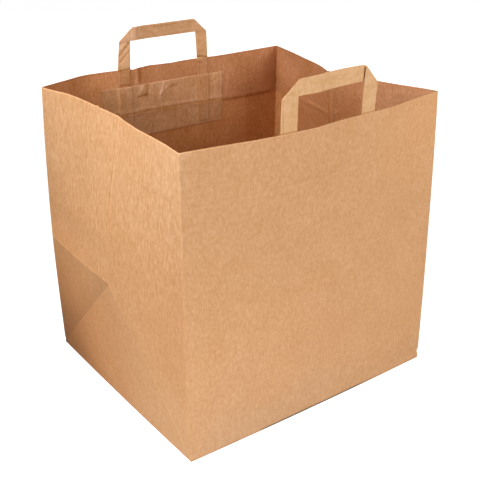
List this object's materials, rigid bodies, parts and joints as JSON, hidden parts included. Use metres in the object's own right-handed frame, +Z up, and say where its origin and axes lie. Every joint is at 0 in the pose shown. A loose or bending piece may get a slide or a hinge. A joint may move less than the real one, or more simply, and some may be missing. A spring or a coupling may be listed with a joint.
{
  "type": "paper carrier bag",
  "caption": "Open kraft paper carrier bag with a flat block bottom and flat folded paper handles glued inside under paper patches.",
  "frame": {"origin": "centre of the base, on the face that the bag stands on", "axes": "+Z up out of the mouth, +X along the front wall to the right, +Y from the front wall to the rear wall"},
  "size_m": [0.3292, 0.3021, 0.3665],
  "materials": {
    "kraft_bag": "matte natural kraft",
    "kraft_handle": "matte natural kraft",
    "kraft_patch": "matte natural kraft"
  },
  "bodies": {
    "root": {"bag_body": "kraft_bag", "front_handle": "kraft_handle", "rear_handle": "kraft_handle", "front_handle_patch": "kraft_patch", "rear_handle_patch": "kraft_patch"}
  },
  "joints": []
}
